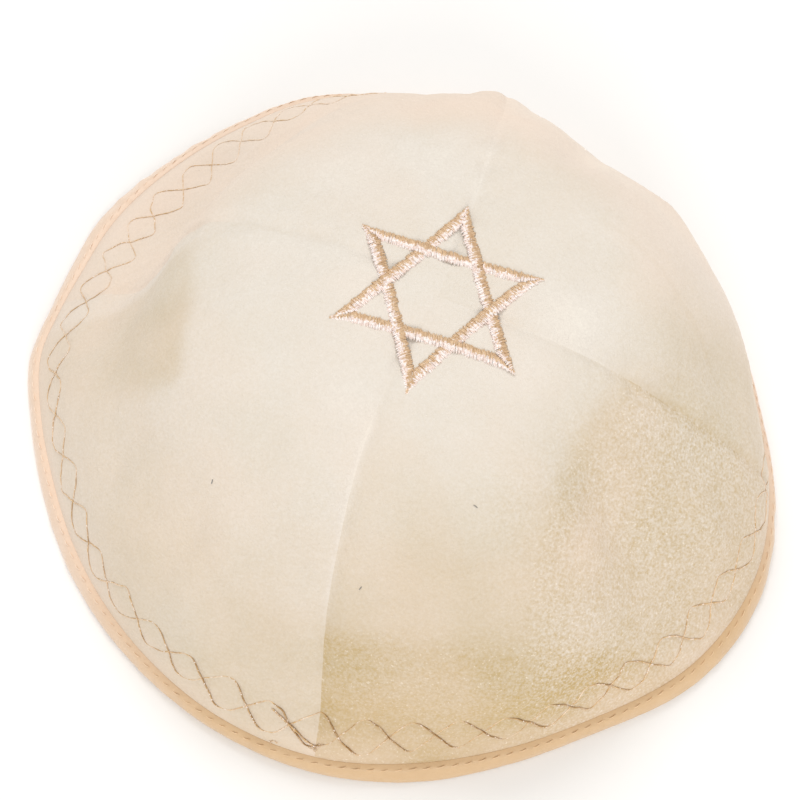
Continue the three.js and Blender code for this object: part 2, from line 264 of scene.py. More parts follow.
# The camera, as the photograph was taken
CAMERA_ELEVATION = 66.0
CAMERA_ROLL = 10.0
CAMERA_DISTANCE = 420.0
CAMERA_FOCUS_PIXELS = 1880.0
PICTURE_PIXELS = 800
CAMERA_TARGET = np.array([-3.8, 0.7, 0.0])

# Round area lights, in metres: name, place, aim, size, power and colour
LIGHTS = (
    ("key", (-0.35, 0.75, 1.0), (0, 0, 0.02), 0.7, 7.0, (1.0, 0.98, 0.955)),
    ("side", (1.0, 0.2, 0.3), (0, 0, 0.03), 0.6, 1.2, (1.0, 0.95, 0.93)),
    ("front", (0.15, -0.9, 0.55), (0, 0, 0.03), 0.6, 4.4, (1.0, 0.975, 0.955)),
)
SKY_COLOUR = (1.0, 0.99, 0.975, 1)
SKY_STRENGTH = 0.655
TABLE_HALF_SIDE = 3000

rng = np.random.default_rng(11)


# Surface of the cap

def hermite(s, h, y0, m0, y1, m1):
    """Cubic through two values with their slopes, at a part s of a step of size h."""
    rise = y0 * (1 + 2 * s) * (1 - s) ** 2 + y1 * s ** 2 * (3 - 2 * s)
    return rise + h * (m0 * s * (1 - s) ** 2 + m1 * s ** 2 * (s - 1))


def round_the_cap(azimuth, column):
    """A section's value at any azimuth, on a smooth closed curve through the rows."""
    at = np.concatenate([SECTIONS[-2:, 0] - 360, SECTIONS[:, 0], SECTIONS[:2, 0] + 360])
    value = np.concatenate([SECTIONS[-2:, column], SECTIONS[:, column], SECTIONS[:2, column]])
    slope = np.zeros_like(value)
    slope[1:-1] = (value[2:] - value[:-2]) / (at[2:] - at[:-2])
    turn = (np.asarray(azimuth, float) + 180) % 360 - 180
    i = np.clip(np.searchsorted(at, turn, side="right") - 1, 1, len(at) - 3)
    h = at[i + 1] - at[i]
    return hermite((turn - at[i]) / h, h, value[i], slope[i], value[i + 1], slope[i + 1])


def beside(a, b, part, amount):
    """A point part way from a to b, moved to the right of that direction by an amount."""
    along, up = b[0] - a[0], b[1] - a[1]
    length = np.hypot(along, up)
    return a[0] + along * part + amount * up / length, a[1] + up * part - amount * along / length


def meridian(azimuth, t):
    """Radius and height at t on the meridians of the azimuths."""
    azimuth, t = np.broadcast_arrays(np.asarray(azimuth, float), np.asarray(t, float))
    rim, hem, curl, wall, wall_height, dip, shoulder, shoulder_height = [
        round_the_cap(azimuth, column) for column in range(1, SECTIONS.shape[1])]
    zero = np.zeros_like(rim)
    rim = (rim - TAPE - GAP, zero)
    hem = (hem, np.sqrt(HEM_WIDTH ** 2 - (rim[0] - hem) ** 2))
    wall = (wall, wall_height)
    points = [
        (zero, zero + CROWN_HEIGHT),
        (zero + TOP_RADIUS, zero + TOP_HEIGHT),
        (shoulder, shoulder_height),
        wall,
        beside(wall, hem, (FOOT - WALL) / (HEM - WALL), dip),
        hem,
        beside(hem, rim, (EDGE - HEM) / (RIM - HEM), -curl),
        rim,
    ]
    radii = np.stack([point[0] for point in points])
    heights = np.stack([point[1] for point in points])
    return along_stations(radii, t, TOP_RADIUS / TOP), along_stations(heights, t, 0.0)


def along_stations(values, t, first_slope):
    """A smooth curve through the stations' values, at t."""
    at = np.array(STATIONS)
    steps = np.diff(at)
    rises = np.diff(values, axis=0) / steps.reshape(-1, *[1] * (values.ndim - 1))
    slopes = np.empty_like(values)
    slopes[0] = first_slope
    slopes[-1] = rises[-1]
    for j in range(1, len(at) - 1):
        before, after = steps[j - 1], steps[j]
        slopes[j] = (rises[j - 1] * after + rises[j] * before) / (before + after)
    i = np.clip(np.searchsorted(at, t, side="right") - 1, 0, len(at) - 2)
    h = at[i + 1] - at[i]

    def pick(array, row):
        return np.take_along_axis(array, row[None], 0)[0]

    start, end = (pick(values, i), pick(slopes, i)), (pick(values, i + 1), pick(slopes, i + 1))
    return hermite((t - at[i]) / h, h, *start, *end)


def smooth_point(azimuth, t):
    """The cloth's outer face before folds and seams."""
    radius, height = meridian(azimuth, t)
    turn = np.radians(azimuth)
    return np.stack([radius * np.cos(turn), radius * np.sin(turn), height], -1) - SHIFT


def outward(azimuth, t):
    """The smooth form's outward direction."""
    turn, step = 0.5, 0.004
    above = np.maximum(t - step, step / 2)
    below = np.minimum(t + step, 1)
    around = smooth_point(azimuth + turn, t) - smooth_point(azimuth - turn, t)
    down = smooth_point(azimuth, below) - smooth_point(azimuth, above)
    normal = np.cross(down, around)
    return normal / np.linalg.norm(normal, axis=-1, keepdims=True)


def seam_azimuth(seam, t):
    """A seam's azimuth at t, which turns most near the crown."""
    crown, rim = SEAMS[seam]
    return rim + (crown - rim) * (1 - t) ** SEAM_EASE


def apart(a, b):
    """The angle between two azimuths."""
    return np.abs((a - b + 180) % 360 - 180)


def bump(x):
    """A bell of height 1."""
    return np.exp(-2 * x ** 2)


def smooth_step(x):
    """A soft step from 0 at 0 to 1 at 1."""
    x = np.clip(x, 0, 1)
    return x * x * (3 - 2 * x)


def waves(points, size, seed):
    """Smooth noise of about unit size: many sine waves of lengths near the given size."""
    random = np.random.default_rng(seed)
    total = np.zeros(points.shape[:-1])
    for _ in range(WAVES_SUMMED):
        direction = random.normal(size=3)
        direction /= np.linalg.norm(direction)
        length = size * random.uniform(0.7, 1.5)
        total += np.sin(points @ direction * 2 * math.pi / length + random.uniform(0, 2 * math.pi))
    return total / math.sqrt(WAVES_SUMMED / 2)


def uneven(points, kind):
    """One kind of unevenness, in millimetres."""
    size, seed, height = kind
    return waves(points, size, seed) * height


def from_seam(seam, azimuth, t):
    """Distance in millimetres from a seam."""
    radius, _ = meridian(azimuth, t)
    return np.radians(apart(azimuth, seam_azimuth(seam, t))) * radius


def seam_distance(azimuth, t):
    """Distance in millimetres from the nearest seam."""
    return np.min([from_seam(seam, azimuth, t) for seam in SEAMS], axis=0)


def stroke(phase):
    """A wave from -1 to 1 with nearly straight strokes and rounded ends."""
    return np.arcsin(WAVE_STRAIGHTNESS * np.sin(phase)) / math.asin(WAVE_STRAIGHTNESS)


def round_table(table, column, azimuth):
    """A column of a table whose rows start with an azimuth from -180 to 180."""
    rows = np.array(table, float)
    turn = (np.asarray(azimuth, float) + 180) % 360 - 180
    return np.interp(turn, rows[:, 0], rows[:, column])


def wave_phase(azimuth):
    """The first wave's phase: its strokes cross the other wave's at whole half turns."""
    return math.pi * (np.asarray(azimuth, float) - WAVE_CROSSING_AZIMUTH) * WAVE_CROSSINGS / 360 + math.pi


def wave_distance(azimuth, side):
    """Distance of a wave from the edge: side is 1 or -1, for the two waves."""
    phase = wave_phase(azimuth)
    sway = sum(height * np.sin(phase * pace + turn * side) for height, pace, turn in WAVE_SWAYS)
    return round_table(WAVE_MIDDLE, 1, azimuth) + sway + side * WAVE_HALF_HEIGHT * stroke(phase)


def wave_grooves(azimuth, t):
    """How deep the waves of thread press into the pile."""
    distance = (1 - t) * ARC_LENGTH
    step = 0.5
    along = math.radians(2 * step) * HEM_RADIUS
    depth = np.zeros(np.broadcast(azimuth, t).shape)
    for side in (1, -1):
        away = distance - wave_distance(azimuth, side)
        slope = (wave_distance(azimuth + step, side) - wave_distance(azimuth - step, side)) / along
        away = away / np.sqrt(1 + slope ** 2)
        depth += WAVE_GROOVE * np.exp(-(away / WAVE_GROOVE_HALF_WIDTH) ** 2)
    return depth


def relief(azimuth, t, base):
    """How far the cloth stands off the smooth form: folds, puckers and grooves at seams and threads."""
    height = np.zeros(np.broadcast(azimuth, t).shape)
    for fold_azimuth, half_turn, along, half_length, depth in FOLDS:
        height -= depth * bump(apart(azimuth, fold_azimuth) / half_turn) * bump((t - along) / half_length)
    distance = seam_distance(azimuth, t)
    height -= SEAM_DEPTH * bump(distance / SEAM_HALF_WIDTH)
    for seam, (_, _, _, depth) in SEAM_LINES.items():
        height -= depth * np.exp(-(from_seam(seam, azimuth, t) / LIP_HALF_WIDTH) ** 2)
    pucker = uneven(base, PUCKERS) * bump((distance - PUCKER_AT) / PUCKER_HALF_WIDTH)
    soft = uneven(base, SWELLS) + uneven(base, RIPPLES)
    pile = uneven(base, TUFTS)
    fade = smooth_step((TAPE_TOP - t) / 0.08) * smooth_step((t - 0.02) / 0.1)
    near_crown = smooth_step((t - 0.1) / 0.2)
    low = smooth_step((TAPE_TOP - t) / 0.05)
    grooves = wave_grooves(azimuth, t) * smooth_step((TAPE_TOP - t) / 0.01)
    return height * fade + ((pucker + soft) * near_crown + pile) * low - grooves


def cloth_point(azimuth, t, lift):
    """A point on the finished velvet, moved out by a lift."""
    base = smooth_point(azimuth, t)
    height = relief(azimuth, t, base) + lift
    return base + outward(azimuth, t) * np.asarray(height)[..., None]


def tape_top_point(azimuth, offset):
    """A point at the tape's upper edge, moved out by an offset."""
    return smooth_point(azimuth, TAPE_TOP) + outward(azimuth, TAPE_TOP) * np.asarray(offset)[..., None]


def hem_point(azimuth, offset, height):
    """A point of the hem under the tape, moved out and then down the wall to a height."""
    start = tape_top_point(azimuth, offset)
    down = smooth_point(azimuth, np.ones_like(azimuth)) - smooth_point(azimuth, TAPE_TOP)
    return start + down * ((height - start[..., 2]) / down[..., 2])[..., None]


# Mesh helpers

def mesh_object(name, vertices, faces, material, sharp=None):
    """A mesh from millimetres; edges that turn by more than the angle sharp stay sharp."""
    mesh = bpy.data.meshes.new(name)
    mesh.from_pydata((np.asarray(vertices) * 0.001).tolist(), [], faces)
    mesh.materials.append(material)
    mesh.validate()
    mesh.shade_smooth()
    if sharp is not None:
        mesh.set_sharp_from_angle(angle=math.radians(sharp))
    thing = bpy.data.objects.new(name, mesh)
    bpy.context.collection.objects.link(thing)
    return thing


def give(thing, name, values):
    """Gives the mesh a number at each vertex, for its material."""
    layer = thing.data.attributes.new(name, "FLOAT", "POINT")
    layer.data.foreach_set("value", np.asarray(values, np.float32).ravel())


def tube(path, radius, sides, vertices, faces):
    """Adds a round thread along a path, closed and rounded off at both ends."""
    path = np.asarray(path, float)
    count = len(path)
    along = np.gradient(path, axis=0)
    along /= np.linalg.norm(along, axis=1, keepdims=True)
    side = np.cross(along, [0.31, 0.22, 0.92])
    side /= np.linalg.norm(side, axis=1, keepdims=True)
    up = np.cross(side, along)
    radii = np.broadcast_to(np.asarray(radius, float), count).copy()
    radii[[0, -1]] *= 0.45
    turn = np.linspace(0, 2 * math.pi, sides, endpoint=False)
    rings = (path[:, None] + radii[:, None, None]
             * (np.cos(turn)[None, :, None] * side[:, None] + np.sin(turn)[None, :, None] * up[:, None]))
    first = len(vertices)
    vertices.extend(rings.reshape(-1, 3).tolist())
    for i in range(count - 1):
        a = first + i * sides
        for k in range(sides):
            n = (k + 1) % sides
            faces.append((a + k, a + sides + k, a + sides + n, a + n))
    faces.append(tuple(first + k for k in range(sides)))
    faces.append(tuple(first + (count - 1) * sides + k for k in reversed(range(sides))))


# Material helpers

def linear(r, g, b):
    """A colour given as it looks on screen, 0 to 255, as linear light."""
    def one(c):
        c /= 255
        return c / 12.92 if c <= 0.04045 else ((c + 0.055) / 1.055) ** 2.4
    return (one(r), one(g), one(b), 1.0)


class Nodes:
    """A short way to write a material's nodes."""

    def __init__(self, name, **shader):
        self.material = bpy.data.materials.new(name)
        self.material.use_nodes = True
        self.tree = self.material.node_tree
        self.shader = self.tree.nodes["Principled BSDF"]
        for key, value in shader.items():
            self.shader.inputs[key.replace("_", " ")].default_value = value
        self.place = self.add("ShaderNodeTexCoord").outputs["Object"]

    def add(self, kind, **settings):
        node = self.tree.nodes.new(kind)
        for key, value in settings.items():
            setattr(node, key, value)
        return node

    def put(self, value, socket):
        if isinstance(value, bpy.types.NodeSocket):
            self.tree.links.new(value, socket)
        else:
            socket.default_value = value

    def noise(self, size, detail):
        """Noise with grains of about the size in millimetres."""
        node = self.add("ShaderNodeTexNoise")
        self.put(self.place, node.inputs["Vector"])
        node.inputs["Scale"].default_value = 1000 / size
        node.inputs["Detail"].default_value = detail
        return node.outputs["Fac"]

    def math(self, operation, a, b, clamp=False):
        node = self.add("ShaderNodeMath", operation=operation, use_clamp=clamp)
        self.put(a, node.inputs[0])
        self.put(b, node.inputs[1])
        return node.outputs[0]

    def span(self, value, low, high, to_low=0.0, to_high=1.0):
        node = self.add("ShaderNodeMapRange")
        for socket, number in zip(node.inputs, (value, low, high, to_low, to_high)):
            self.put(number, socket)
        return node.outputs[0]

    def mix(self, part, a, b):
        node = self.add("ShaderNodeMix", data_type="RGBA")
        self.put(part, node.inputs[0])
        self.put(a, node.inputs[6])
        self.put(b, node.inputs[7])
        return node.outputs[2]

    def attribute(self, name):
        return self.add("ShaderNodeAttribute", attribute_name=name).outputs["Fac"]

    def bump(self, height, strength, depth, normal=None):
        """Bump of a depth in millimetres."""
        node = self.add("ShaderNodeBump")
        node.inputs["Strength"].default_value = strength
        node.inputs["Distance"].default_value = depth * 0.001
        self.put(height, node.inputs["Height"])
        if normal is not None:
            self.put(normal, node.inputs["Normal"])
        return node.outputs["Normal"]

    def wear(self, **links):
        for key, value in links.items():
            self.put(value, self.shader.inputs[key.replace("_", " ")])
        return self.material


def velvet_material():
    n = Nodes("velvet_pile", Roughness=0.92, Sheen_Weight=0.38, Sheen_Roughness=0.36,
              Sheen_Tint=linear(255, 247, 238), Specular_IOR_Level=0.1)
    # light and dark are the ends of the tone, which is partly painted shade; the brighter colour below tone 0
    # is painted light
    light = linear(226, 219, 209)
    dark = linear(182, 155, 94)
    rosy = linear(235, 215, 198)
    tone = n.attribute("tone")
    grain = n.attribute("grain")
    patch = n.span(n.noise(15, 3), 0.3, 0.7, -0.07, 0.07)
    clump = n.span(n.noise(1.7, 3), 0.3, 0.7, -0.06, 0.06)
    tufts = n.span(n.noise(0.6, 3), 0.3, 0.7, -0.19, 0.19)
    rough = n.math("MULTIPLY", n.math("ADD", clump, tufts), grain)
    part = n.math("ADD", n.math("ADD", tone, patch), rough)
    colour = n.mix(n.span(part, -0.3, 0.0, 1.0, 0.0), light, linear(240, 234, 223))
    colour = n.mix(n.span(part, 0.0, 1.5), colour, dark)
    # painted pink glow at the back and near the edge, with rosy tone at random
    rosiness = n.math("ADD", n.attribute("blush_and_painted_glow"), n.span(n.noise(24, 2), 0.35, 0.65, -0.12, 0.2), clamp=True)
    colour = n.mix(n.math("MULTIPLY", rosiness, 0.75), colour, rosy)
    glint = n.math("MULTIPLY", n.span(n.noise(0.5, 2), 0.63, 0.74), n.span(grain, 0.6, 1.5, 0.0, 0.55))
    colour = n.mix(glint, colour, linear(250, 240, 226))
    pile = n.bump(n.noise(0.45, 2), 0.5, 0.30)
    pile = n.bump(n.noise(1.5, 2), 0.35, 0.45, pile)
    return n.wear(Base_Color=colour, Normal=pile)


def tape_material():
    n = Nodes("satin_tape", Roughness=0.42, Sheen_Weight=0.25, Sheen_Roughness=0.35,
              Specular_IOR_Level=0.4, Anisotropic=0.5)
    tan = n.mix(n.noise(5, 2), linear(218, 186, 146), linear(207, 174, 133))
    # painted light: the paler colour of the tape on the left and right
    painted_light = n.mix(n.noise(5, 2), linear(235, 211, 190), linear(230, 204, 181))
    colour = n.mix(n.attribute("painted_light"), tan, painted_light)
    rib = n.bump(n.noise(0.45, 2), 0.5, 0.16)
    crease = n.bump(n.noise(1.5, 3), 0.4, 0.4, rib)
    return n.wear(Base_Color=colour, Normal=crease)


def stitch_material():
    n = Nodes("binding_stitch", Roughness=0.5)
    tan = n.mix(n.span(n.noise(1.1, 2), 0.35, 0.65), linear(222, 188, 146), linear(234, 204, 166))
    # painted light: the stitches pale with the tape on the left and right
    colour = n.mix(n.attribute("painted_light"), tan, linear(242, 222, 203))
    return n.wear(Base_Color=colour)


def lint_material():
    n = Nodes("lint_fibre", Roughness=0.7)
    return n.wear(Base_Color=n.mix(n.noise(3, 1), linear(120, 126, 130), linear(150, 138, 122)))


def metal_thread_material():
    """Thread wound with metal foil, from pale gold to dark brown, with small white glints; the palest, at the
    back, is painted light.
    """
    n = Nodes("metal_thread", Roughness=0.36, Metallic=0.12, Specular_IOR_Level=0.5)
    shade = n.math("ADD", n.attribute("dark"), n.span(n.noise(1.3, 2), 0.3, 0.7, -0.25, 0.25))
    golden = n.mix(n.span(n.noise(0.8, 2), 0.4, 0.6), linear(224, 194, 160), linear(220, 184, 130))
    # painted light: the threads at the back pale towards cream
    golden = n.mix(n.span(shade, -0.8, 0.0, 1.0, 0.0), golden, linear(242, 226, 208))
    colour = n.mix(n.span(shade, 0.0, 1.0), golden, linear(150, 108, 48))
    glint = n.math("MULTIPLY", n.span(n.noise(0.55, 1), 0.58, 0.68), 0.85)
    colour = n.mix(glint, colour, linear(250, 236, 226))
    return n.wear(Base_Color=colour, Normal=n.bump(n.noise(0.15, 1), 0.5, 0.08))


def star_thread_material():
    """Tan rayon thread, drawn pale and glittering along the side of each bar that faces the front light, a
    painted highlight.
    """
    n = Nodes("star_satin", Roughness=0.40, Metallic=0.1, Specular_IOR_Level=0.5)
    tan = n.mix(n.span(n.noise(0.9, 2), 0.35, 0.65), linear(206, 172, 134), linear(224, 195, 160))
    bright = n.mix(n.span(n.noise(0.5, 2), 0.4, 0.6), linear(240, 220, 210), linear(255, 248, 245))
    painted_shine = n.math("ADD", n.attribute("painted_shine"), n.span(n.noise(0.4, 2), 0.3, 0.7, -0.34, 0.34))
    colour = n.mix(n.span(painted_shine, 0.35, 0.65), tan, bright)
    return n.wear(Base_Color=colour, Normal=n.bump(n.noise(0.2, 2), 0.5, 0.1))


# Pieces

def ramp(value, low, high):
    """A soft step from 0 at low to 1 at high."""
    return smooth_step((value - low) / (high - low))


def traced(edge, azimuth):
    """Where a traced edge lies along the cloth at the azimuths."""
    turn, place = np.array(edge, float).T
    return np.interp(azimuth, turn, place)


def pile_tone_and_painted_shade(gore, azimuth, t):
    """How dark the pile looks and how coarse: partly the pile lying a different way on each gore, partly
    painted shade and painted light.

    Tone 0 is the pale pile of the crown, below 0 is brighter, and 1.5 is the darkest.
    """
    coarse = 0.35 + 0.25 * ramp(t, 0.25, 0.6)
    if gore == "gore_front_right":
        # pale at the crown, darker down the wall, partly painted shade where the wall turns away from the
        # light
        tone = 0.04 + 0.16 * ramp(t, 0.18, 0.32) + 0.52 * ramp(t, 0.27, 0.60)
        # the coarse darker zone towards the right seam, partly pile and partly painted shade on the wall that
        # faces away from the light
        right = ramp(t - traced(RIGHT_ZONE, azimuth), -0.015, 0.05) * ramp(azimuth, -68, -58)
        tone += (0.69 - 0.10 * ramp(azimuth, -26, -12) + 0.12 * ramp(t, 0.66, 0.86) - tone) * right
        # the dark band above the hem, with a sharper upper edge near the front seam: partly pile and partly
        # painted shade on the steep front wall
        away = ramp(azimuth, -100, -60)
        bottom = smooth_step((t - traced(BOTTOM_BAND, azimuth) + 0.02 + 0.02 * away) / (0.055 + 0.08 * away))
        tone += (1.05 + 0.26 * ramp(t, 0.70, 0.84) - 0.14 * ramp(azimuth, -75, -50) - tone) * bottom
        tone += 0.08 * ramp(t, 0.84, 0.94)
        # a painted highlight streak beside the front seam
        tone -= 0.14 * bump((azimuth + 95) / 9) * bump((t - 0.50) / 0.12)
        coarse = coarse + 0.45 * ramp(azimuth, -74, -60) * ramp(t, 0.28, 0.40)
        coarse = coarse + 1.15 * right * ramp(t, 0.34, 0.48) + 0.75 * bottom
    elif gore == "gore_front_left":
        # pale at the crown, darker down the wall, more so towards the front seam and under the dent: partly
        # painted shade
        tone = 0.02 + 0.16 * ramp(t, 0.20, 0.46) + 0.20 * ramp(t, 0.46, 0.70)
        tone += 0.08 * ramp(azimuth, 208, 224) * ramp(t, 0.40, 0.58)
        tone += 0.10 * ramp(azimuth, 220, 240) * ramp(t, 0.75, 0.95)
        tone -= 0.07 * ramp(t, 0.66, 0.84) * ramp(232 - azimuth, 0, 20)
        tone += 0.12 * ramp(azimuth, 238, 250) * ramp(t, 0.58, 0.68)
        tone += 0.14 * ramp(t, 0.50, 0.60) * ramp(205 - azimuth, 0, 15)
        # painted shade in the dent
        dent = ramp(t - traced(DENT_ABOVE, azimuth), -0.012, 0.030)
        dent = dent * ramp(traced(DENT_BELOW, azimuth) - t, -0.04, 0.14) * ramp(210 - azimuth, 0, 7)
        dent = dent * (0.5 + 0.5 * ramp(azimuth, 179, 189))
        tone += (0.58 - 0.12 * ramp(t, 0.56, 0.72) - tone) * dent
        # the paler strip between the dent and the left seam, where the dent's painted shade stops
        strip = 1 - ramp(azimuth - seam_azimuth("left", t), 4, 8.5) * ramp(azimuth, 160, 172)
        tone += (0.12 - tone) * strip * ramp(t, 0.36, 0.42)
    elif gore == "gore_back_left":
        tone = 0.05 + 0.08 * ramp(t, 0.3, 0.5)
        tone += 0.10 * ramp(azimuth, 156, 172) * ramp(t, 0.7, 0.9)
    else:
        # a painted highlight patch by the star, painted shade down the right, and painted light that pales
        # the back
        tone = -0.16 * bump((azimuth - 2) / 26) * bump((t - 0.25) / 0.14)
        tone = tone + 0.11 + 0.34 * ramp(t, 0.26, 0.56) * (1 - ramp(azimuth, 4, 36))
        tone -= 0.42 * ramp(t, 0.40, 0.66) * ramp(azimuth, 8, 46) * (1 - ramp(azimuth, 78, 90))
        # a darker strip beside the right seam, and painted shade along the crease line that runs up from it
        # towards the back
        tone += 0.10 * ramp(3 - azimuth, 0, 10) * ramp(t, 0.42, 0.5)
        tone += 0.10 * bump((t - traced(EDGE_LINE, azimuth)) / 0.012) * ramp(50 - azimuth, 0, 20)
        coarse = coarse + 0.55 * ramp(12 - azimuth, 0, 20) * ramp(t, 0.4, 0.55)
    return tone, coarse


def blush_and_painted_glow(gore, azimuth, t):
    """How rosy the pile looks: more on the back gores and near the edge, where the rosiness is painted pink
    glow; the touches on the front gores are rosy tone.
    """
    back = gore.startswith("gore_back")
    edge = ramp(t, 0.84, 0.95) * (0.1 if back else 0.3)
    if gore == "gore_back_right":
        return 0.8 * ramp(t, 0.30, 0.52) * (0.15 + 0.85 * ramp(azimuth, 2, 38)) + edge
    rosy = ramp(t, 0.30, 0.52) * (0.8 if back else 0.2) + edge
    if gore == "gore_front_left":
        rosy = rosy + 0.22 * ramp(t, 0.60, 0.80) * ramp(236 - azimuth, 0, 20)
    if gore == "gore_front_right":
        rosy = rosy + 0.25 * bump((azimuth + 48) / 11) * bump((t - 0.52) / 0.09)
    return rosy


def seam_lines(azimuth, t):
    """How the seams' narrow lines darken the pile, or lighten it with a painted highlight."""
    tone = np.zeros(azimuth.shape)
    for seam, (strength, start, end, _) in SEAM_LINES.items():
        line = bump(from_seam(seam, azimuth, t) / SEAM_LINE_WIDTH)
        tone += strength * line * ramp(t, start, start + 0.10) * ramp(end - t, 0, 0.10)
    return tone


def gore_grid(gore, t):
    """Azimuths across a gore at each t, crowded towards the seams."""
    start = seam_azimuth(GORES[gore][0], t)
    end = seam_azimuth(GORES[gore][1], t)
    end = np.where(end < start, end + 360, end)
    even = np.linspace(0, 1, GORE_COLUMNS + 1)
    crowded = even - CROWDING * np.sin(2 * math.pi * even) / math.pi
    return start[:, None] + (end - start)[:, None] * crowded[None]


def gore_rows():
    """Places down a gore, closer together under the waves of thread."""
    tip = TOP * TIP_RADIUS / TOP_RADIUS
    band = 1 - BAND_WIDTH / ARC_LENGTH
    above = np.linspace(tip, band, GORE_ROWS, endpoint=False)
    return np.concatenate([above, np.linspace(band, TAPE_TOP, BAND_ROWS)])


def make_gore(name, material):
    t = gore_rows()
    rows, columns = len(t), GORE_COLUMNS
    azimuth = gore_grid(name, t)
    down = np.broadcast_to(t[:, None], azimuth.shape)
    base = smooth_point(azimuth, down)
    normal = outward(azimuth, down)
    outer = base + normal * relief(azimuth, down, base)[..., None]
    inner = outer - normal * VELVET
    edge = azimuth[-1]
    outer = np.concatenate([outer, hem_point(edge, np.zeros_like(edge), EDGE_HEIGHT)[None]])
    inner = np.concatenate([inner, hem_point(edge, np.full_like(edge, -VELVET), EDGE_HEIGHT)[None]])
    wide = columns + 1
    count = (rows + 1) * wide
    faces = []
    for j in range(rows):
        for i in range(columns):
            a = j * wide + i
            faces.append((a, a + wide, a + wide + 1, a + 1))
            faces.append((count + a, count + a + 1, count + a + wide + 1, count + a + wide))
        a, b = j * wide, j * wide + columns
        faces.append((a, count + a, count + a + wide, a + wide))
        faces.append((count + b, b, b + wide, count + b + wide))
    for i in range(columns):
        low = rows * wide + i
        faces.append((count + i, i, i + 1, count + i + 1))
        faces.append((low, count + low, count + low + 1, low + 1))
    vertices = np.concatenate([outer.reshape(-1, 3), inner.reshape(-1, 3)])
    piece = mesh_object("velvet_" + name, vertices, faces, material, SHARP_EDGE)
    tone, coarse = pile_tone_and_painted_shade(name, azimuth, down)
    tone = tone + seam_lines(azimuth, down)
    rosy = blush_and_painted_glow(name, azimuth, down)
    for attribute, values in (("tone", tone), ("grain", coarse), ("blush_and_painted_glow", rosy)):
        values = np.broadcast_to(values, azimuth.shape)
        values = np.concatenate([values, values[-1:]])
        give(piece, attribute, np.concatenate([values, values]))
    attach(piece, "root")
    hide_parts(name)


def tape_section():
    """The tape's closed section: each point's offset from the velvet's face and height share."""
    outer, inner = GAP + TAPE, -VELVET - GAP - TAPE
    points = []
    for k in range(13):
        share = 1 - k / 12 * (1 - TAPE_BEND)
        thin = smooth_step((share - TAPE_THIN_FROM) / (1 - TAPE_THIN_FROM)) * (outer - TAPE_EDGE)
        points.append((outer + TAPE_BULGE * math.sin(math.pi * (1 - k / 12)) - thin, share))
    middle, half = (outer + inner) / 2, (outer - inner) / 2
    for k in range(1, 10):
        turn = math.pi * k / 10
        points.append((middle + half * math.cos(turn), TAPE_BEND * (1 - math.sin(turn))))
    for k in range(7):
        points.append((inner, TAPE_BEND + (1 - TAPE_BEND) * k / 6))
    points += [(inner + TAPE * 0.5, 1.03), (inner + TAPE, 1.0), (inner + TAPE, TAPE_INSIDE)]
    points += [(GAP, TAPE_INSIDE), (0.0, 0.9), (-0.12, 1.0), (-0.06, 1.03)]
    return points


def tape_point(azimuth, offset, share):
    """A point of the tape: share is 0 at the table and 1 at the tape's upper edge."""
    top = tape_top_point(azimuth, offset)
    foot = hem_point(azimuth, offset, 0.0)
    return foot + (top - foot) * np.asarray(share)[..., None]


def lengths_along(path):
    """How far along a path each of its points lies."""
    return np.concatenate([[0], np.cumsum(np.linalg.norm(np.diff(path, axis=0), axis=1))])


def tape_painted_light(azimuth):
    """The tape is drawn pale with painted light on the left and right, and keeps its tan along the front."""
    return ramp(azimuth, -30, 5) + ramp(-azimuth, 104, 150)


def make_binding(material):
    azimuth = np.linspace(-180, 180, TAPE_STATIONS, endpoint=False)
    rim = smooth_point(azimuth, np.ones_like(azimuth))
    length = lengths_along(rim)
    between = np.abs(np.sin(math.pi * length / STITCH_PITCH))
    crease = uneven(rim, TAPE_CREASES) + uneven(rim, TAPE_WRINKLES)
    rings = []
    for offset, share in tape_section():
        puff = 0.0
        if offset > GAP:
            held = math.exp(-((share - STITCH_SHARE) / DIMPLE_SHARE) ** 2)
            puff = (DIMPLE_RISE * between - DIMPLE_DEPTH) * held + crease * (1 - abs(2 * share - 1))
        rings.append(tape_point(azimuth, offset + puff, np.full_like(azimuth, share)))
    sides = len(rings)
    vertices = np.stack(rings, 1).reshape(-1, 3)
    faces = []
    for i in range(TAPE_STATIONS):
        a, b = i * sides, (i + 1) % TAPE_STATIONS * sides
        for k in range(sides):
            n = (k + 1) % sides
            faces.append((a + k, a + n, b + n, b + k))
    piece = mesh_object("satin_binding", vertices, faces, material)
    give(piece, "painted_light", np.repeat(tape_painted_light(azimuth), sides))
    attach(piece, "root")
    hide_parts("rim_binding")


def make_binding_stitches(material):
    """The line of stitches near the tape's upper edge."""
    azimuth = np.linspace(-180, 180, 4000)
    rim = tape_point(azimuth, np.full_like(azimuth, GAP + TAPE), np.full_like(azimuth, STITCH_SHARE))
    length = lengths_along(rim)
    vertices, faces, painted_light = [], [], []
    for k in range(int(length[-1] / STITCH_PITCH)):
        middle = (k + 0.5) * STITCH_PITCH
        reach = np.linspace(-0.5, 0.5, 6) * STITCH_LENGTH
        turn = np.interp(middle + reach, length, azimuth)
        along = reach / STITCH_LENGTH * 2
        lift = STITCH_LIFT - STITCH_SINK * np.abs(along) ** 3
        share = STITCH_SHARE + STITCH_SLANT * along + rng.uniform(-0.012, 0.012)
        tube(tape_point(turn, lift, share), STITCH_THREAD, THREAD_SIDES, vertices, faces)
        painted_light.extend(np.repeat(tape_painted_light(turn), THREAD_SIDES))
    piece = mesh_object("binding_stitches", vertices, faces, material)
    give(piece, "painted_light", painted_light)
    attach(piece, "root")


